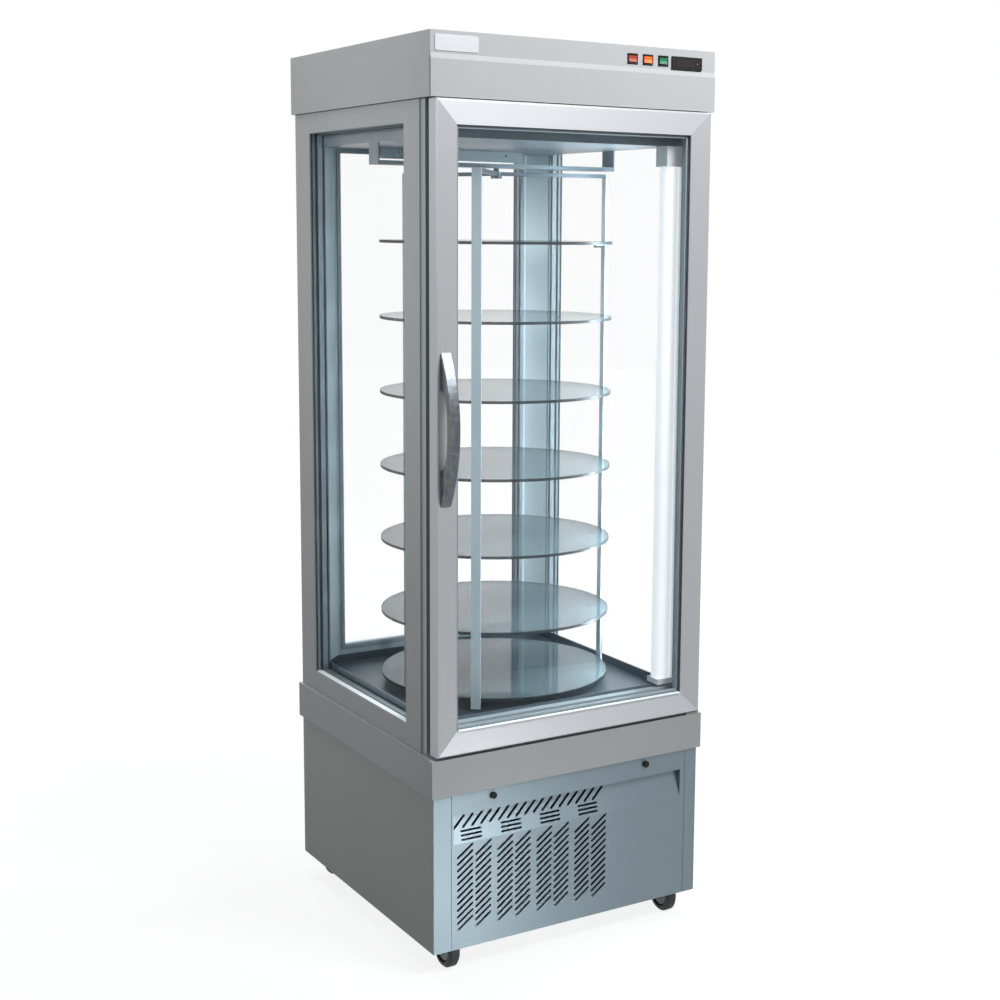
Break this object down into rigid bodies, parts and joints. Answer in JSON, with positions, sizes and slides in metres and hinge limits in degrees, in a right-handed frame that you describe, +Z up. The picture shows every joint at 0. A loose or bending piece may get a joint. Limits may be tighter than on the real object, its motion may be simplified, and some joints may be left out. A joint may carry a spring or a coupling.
{
  "type": "revolving glass display cabinet",
  "caption": "Upright refrigerated display cabinet with four glass sides, a hinged glass door, a rotating rack of round glass shelves, an upright lamp and a louvred machine base on casters",
  "frame": {"origin": "middle of the whole object's footprint, on the floor", "axes": "+X to the right seen from the door side, +Y towards the back, +Z up"},
  "size_m": [0.66, 0.7002, 1.86],
  "materials": {
    "grey_paint": "satin grey powder coat",
    "frame_coat": "satin grey powder coat on extruded profile",
    "liner": "pale grey liner coat",
    "zinc": "zinc plated",
    "glass": "clear toughened glass",
    "steel": "satin sheet",
    "dark_seal": "matte dark profile and gasket",
    "black_metal": "black enamel",
    "black_plastic": "fine moulded grain",
    "lamp_white": "opal diffuser",
    "anodised": "satin anodised",
    "bright": "polished",
    "key_red": "translucent key",
    "key_orange": "translucent key",
    "key_green": "translucent key",
    "tyre": "moulded tread"
  },
  "bodies": {
    "cabinet": {"canopy_shell": "grey_paint", "front_fascia": "grey_paint", "ceiling_panel": "liner", "gear_motor": "zinc", "evaporator_cover": "liner", "left_window_frame": "frame_coat", "right_window_frame": "frame_coat", "rear_window_frame": "frame_coat", "left_glazing": "glass", "right_glazing": "glass", "rear_glazing": "glass", "door_surround": "dark_seal", "base_band": "grey_paint", "floor_tray": "steel", "base_plate": "zinc", "left_side_panel": "grey_paint", "right_side_panel": "grey_paint", "rear_panel": "grey_paint", "compressor": "black_metal", "condenser": "black_metal", "lamp_tube": "lamp_white", "lamp_cover": "lamp_white", "lamp_fixture": "lamp_white", "controller": "black_plastic", "upper_hinge": "zinc", "lower_hinge": "zinc"},
    "door": {"door_top_rail": "anodised", "door_bottom_rail": "anodised", "door_handle_stile": "anodised", "door_hinge_stile": "anodised", "door_glass": "glass", "door_gasket": "dark_seal", "door_handle": "bright"},
    "rack": {"base_disc": "glass", "shelf_1": "glass", "shelf_2": "glass", "shelf_3": "glass", "shelf_4": "glass", "shelf_5": "glass", "shelf_6": "glass", "post_1": "steel", "post_2": "steel", "post_3": "steel", "top_spider": "steel", "lower_spider": "steel"},
    "key_red": {"rocker_red": "key_red"},
    "key_orange": {"rocker_orange": "key_orange"},
    "key_green": {"rocker_green": "key_green"},
    "fan": {"condenser_fan": "zinc"},
    "grille": {"grille_panel": "steel"},
    "screw_left": {"thumb_screw_left": "black_plastic"},
    "screw_right": {"thumb_screw_right": "black_plastic"},
    "caster_front_left": {"caster_fork_front_left": "zinc"},
    "roller_front_left": {"wheel_front_left": "tyre"},
    "caster_front_right": {"caster_fork_front_right": "zinc"},
    "roller_front_right": {"wheel_front_right": "tyre"},
    "caster_rear_left": {"caster_fork_rear_left": "zinc"},
    "roller_rear_left": {"wheel_rear_left": "tyre"},
    "caster_rear_right": {"caster_fork_rear_right": "zinc"},
    "roller_rear_right": {"wheel_rear_right": "tyre"}
  },
  "joints": [
    {"name": "door_hinge", "type": "hinge", "parent": "cabinet", "child": "door", "pos_m": [0.308, -0.29785, 1.1], "axis": [0, 0, 1], "range_deg": [0, 110]},
    {"name": "rack_spin", "type": "hinge", "parent": "cabinet", "child": "rack", "pos_m": [0, 0.02015, 1], "axis": [0, 0, 1], "continuous": true},
    {"name": "fan_spin", "type": "hinge", "parent": "cabinet", "child": "fan", "pos_m": [-0.115, -0.20385, 0.2148], "axis": [0, 1, 0], "continuous": true},
    {"name": "grille_lift_off", "type": "slide", "parent": "cabinet", "child": "grille", "axis": [0, -1, 0], "range_m": [0, 0.12]},
    {"name": "key_red_rock", "type": "hinge", "parent": "cabinet", "child": "key_red", "pos_m": [0.124, -0.30085, 1.834], "axis": [1, 0, 0], "range_deg": [-8, 8]},
    {"name": "key_orange_rock", "type": "hinge", "parent": "cabinet", "child": "key_orange", "pos_m": [0.1615, -0.30085, 1.834], "axis": [1, 0, 0], "range_deg": [-8, 8]},
    {"name": "key_green_rock", "type": "hinge", "parent": "cabinet", "child": "key_green", "pos_m": [0.199, -0.30085, 1.834], "axis": [1, 0, 0], "range_deg": [-8, 8]},
    {"name": "screw_left_turn", "type": "hinge", "parent": "grille", "child": "screw_left", "pos_m": [-0.188, -0.30985, 0.3615], "axis": [0, 1, 0], "continuous": true},
    {"name": "screw_right_turn", "type": "hinge", "parent": "grille", "child": "screw_right", "pos_m": [0.188, -0.30985, 0.3615], "axis": [0, 1, 0], "continuous": true},
    {"name": "swivel_front_left", "type": "hinge", "parent": "cabinet", "child": "caster_front_left", "pos_m": [-0.2715, -0.24185, 0.09], "axis": [0, 0, 1], "range_deg": [-40, 220]},
    {"name": "roll_front_left", "type": "hinge", "parent": "caster_front_left", "child": "roller_front_left", "pos_m": [-0.2715, -0.26185, 0.03718], "axis": [1, 0, 0], "continuous": true},
    {"name": "swivel_front_right", "type": "hinge", "parent": "cabinet", "child": "caster_front_right", "pos_m": [0.2715, -0.24185, 0.09], "axis": [0, 0, 1], "range_deg": [-220, 40]},
    {"name": "roll_front_right", "type": "hinge", "parent": "caster_front_right", "child": "roller_front_right", "pos_m": [0.2715, -0.26185, 0.03718], "axis": [1, 0, 0], "continuous": true},
    {"name": "swivel_rear_left", "type": "hinge", "parent": "cabinet", "child": "caster_rear_left", "pos_m": [-0.2715, 0.28215, 0.09], "axis": [0, 0, 1], "range_deg": [-220, 40]},
    {"name": "roll_rear_left", "type": "hinge", "parent": "caster_rear_left", "child": "roller_rear_left", "pos_m": [-0.2715, 0.30215, 0.03718], "axis": [1, 0, 0], "continuous": true},
    {"name": "swivel_rear_right", "type": "hinge", "parent": "cabinet", "child": "caster_rear_right", "pos_m": [0.2715, 0.28215, 0.09], "axis": [0, 0, 1], "range_deg": [-40, 220]},
    {"name": "roll_rear_right", "type": "hinge", "parent": "caster_rear_right", "child": "roller_rear_right", "pos_m": [0.2715, 0.30215, 0.03718], "axis": [1, 0, 0], "continuous": true}
  ]
}
